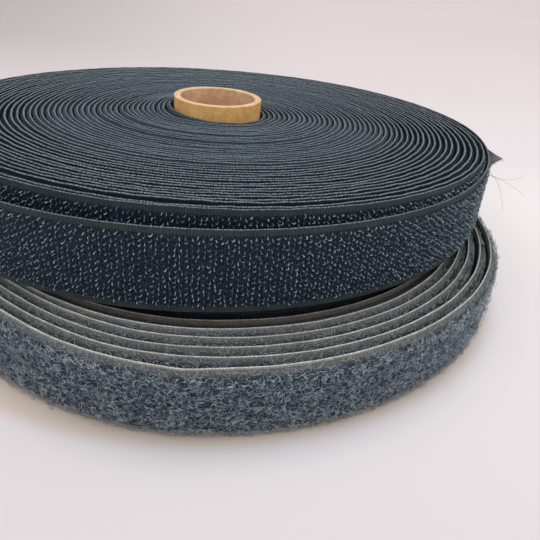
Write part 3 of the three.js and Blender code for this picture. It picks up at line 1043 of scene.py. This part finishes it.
def pale_table():
    """Matt laminate, pale and faintly warm, with light and shade painted on. A painted pool of light lies
    beside the rolls on the right, painted shade dims the table towards the front, the left and the back,
    and most far off on the left, and a warm painted shadow lies close to the rolls. Its places are in metres."""
    material, add = new_material("pale_matt_table", "#ece5e5", 0.6, 1.45, Specular_IOR_Level=0.3)
    place = add("TexCoord", output="Object")
    x, y = (add("SeparateXYZ", place, output=axis) for axis in "XY")
    # Painted shade towards the back
    colour = add("Mix", add("MapRange", y, 0.0, 0.45, **SMOOTH), "#ece5e5", "#e4dad9", **COLOURS)
    # A painted pool of light beside the rolls on the right
    on_right = add("MapRange", x, 0.09, 0.15, **SMOOTH)
    lit = add("Math", on_right, add("MapRange", y, 0.16, 0.04, **SMOOTH), operation="MULTIPLY")
    colour = add("Mix", lit, colour, "#f4eeec", **COLOURS)
    # Painted shade towards the front
    colour = add("Mix", add("MapRange", y, -0.06, -0.15, **SMOOTH), colour, "#e1dadb", **COLOURS)
    # Painted shade towards the left, a little warmer
    colour = add("Mix", add("MapRange", x, 0.02, -0.3, **SMOOTH), colour, "#e7dddb", **COLOURS)
    # Painted shade, darkest far off on the left
    leftward = add("Math", x, -1.0, operation="MULTIPLY")
    leftward = add("Math", leftward, add("Math", y, 0.35, operation="ADD"), operation="DIVIDE")
    leftward = add("MapRange", leftward, -0.1, 0.5, **SMOOTH)
    far_left = add("Math", leftward, add("MapRange", y, 0.0, 0.6, **SMOOTH), operation="MULTIPLY")
    colour = add("Mix", far_left, colour, "#bfb9b8", **COLOURS)
    # A warm painted shadow close to the rolls
    back = add("Math", y, 0.004, operation="ADD")
    reach = add("Math", x, x, add("Math", back, back, operation="MULTIPLY"), operation="MULTIPLY_ADD")
    away = add("MapRange", add("Math", reach, operation="SQRT"), 0.0955, 0.101, **SMOOTH)
    return dress(material, add("Mix", away, "#dfcfc2", colour, **COLOURS))


# Metres: how far the floor lies in front, its run from there to its top, half its width, how far
# behind it starts to curve up, and the curve's radius
FLOOR_FRONT = 2
FLOOR_LENGTH = 7
FLOOR_HALF_WIDTH = 6
FLOOR_REACH = 2.4
FLOOR_BEND = 0.7


def make_floor():
    """A plain pale sheet that lies flat and curves up far behind."""
    select_none()
    bpy.ops.mesh.primitive_grid_add(x_subdivisions=2, y_subdivisions=48, size=2)
    floor = bpy.context.object
    floor.name = floor.data.name = "floor"
    flat = corners(floor)
    run = (flat[:, 1] + 1) / 2 * FLOOR_LENGTH - FLOOR_FRONT
    past = np.clip(run - FLOOR_REACH, 0, None)
    bend = np.minimum(past / FLOOR_BEND, math.pi / 2)
    along = np.minimum(run, FLOOR_REACH) + FLOOR_BEND * np.sin(bend)
    up = FLOOR_BEND * (1 - np.cos(bend)) + np.clip(past - FLOOR_BEND * math.pi / 2, 0, None)
    place_corners(floor, np.stack([flat[:, 0] * FLOOR_HALF_WIDTH, along, up], axis=1))
    smooth(floor, 60)
    floor.data.materials.append(pale_table())


def add_lamp(name, kind, place, power, colour):
    """A lamp of this kind that faces the rolls."""
    data = bpy.data.lights.new(name, kind)
    data.energy = power
    data.color = linear(colour)[:3]
    lamp = bpy.data.objects.new(name, data)
    lamp.location = place
    lamp.rotation_euler = (-Vector(place)).to_track_quat("-Z", "Y").to_euler()
    bpy.context.scene.collection.objects.link(lamp)
    return data


def make_light():
    world = bpy.data.worlds.new("studio")
    world.use_nodes = True
    light = world.node_tree.nodes["Background"]
    light.inputs["Color"].default_value = linear("#f4f5f9")
    light.inputs["Strength"].default_value = 0.45
    # Past the floor's edge the camera sees a pale room, which adds no light of its own
    room = add_node(world, "Background", "#dfd9da", 1.0)
    seen = add_node(world, "LightPath", output="Is Camera Ray")
    both = add_node(world, "MixShader", seen, light.outputs[0], room)
    world.node_tree.links.new(both, world.node_tree.nodes["World Output"].inputs[0])
    bpy.context.scene.world = world
    add_lamp("bright_ceiling", "SUN", (0.04, 0.06, 1.0), 1.1, "#ffffff").angle = math.radians(45)
    add_lamp("room_in_front", "SUN", (0.1, -0.75, 0.65), 0.9, "#ffffff").angle = math.radians(100)
    add_lamp("window", "AREA", (0.8, 0.2, 0.5), 1.3, "#eef3ff").size = 0.7
    add_lamp("far_window", "AREA", (-0.7, -0.25, 0.6), 0.9, "#f6f8ff").size = 0.7


bpy.context.scene.view_settings.view_transform = "Standard"
make_camera()
make_floor()
make_light()
make_hook_turns()
make_hook_last_turns()
make_hook_end()
make_loop_turns()
make_loop_outer_turns()
make_loop_end()
hook_core_tilt = (math.radians(1.3), math.radians(0.5))
make_core("hook", math.radians(-61), hook_core_tilt, shift=(-0.4 * MM, -0.15 * MM, 0))
make_core("loop", math.radians(70))
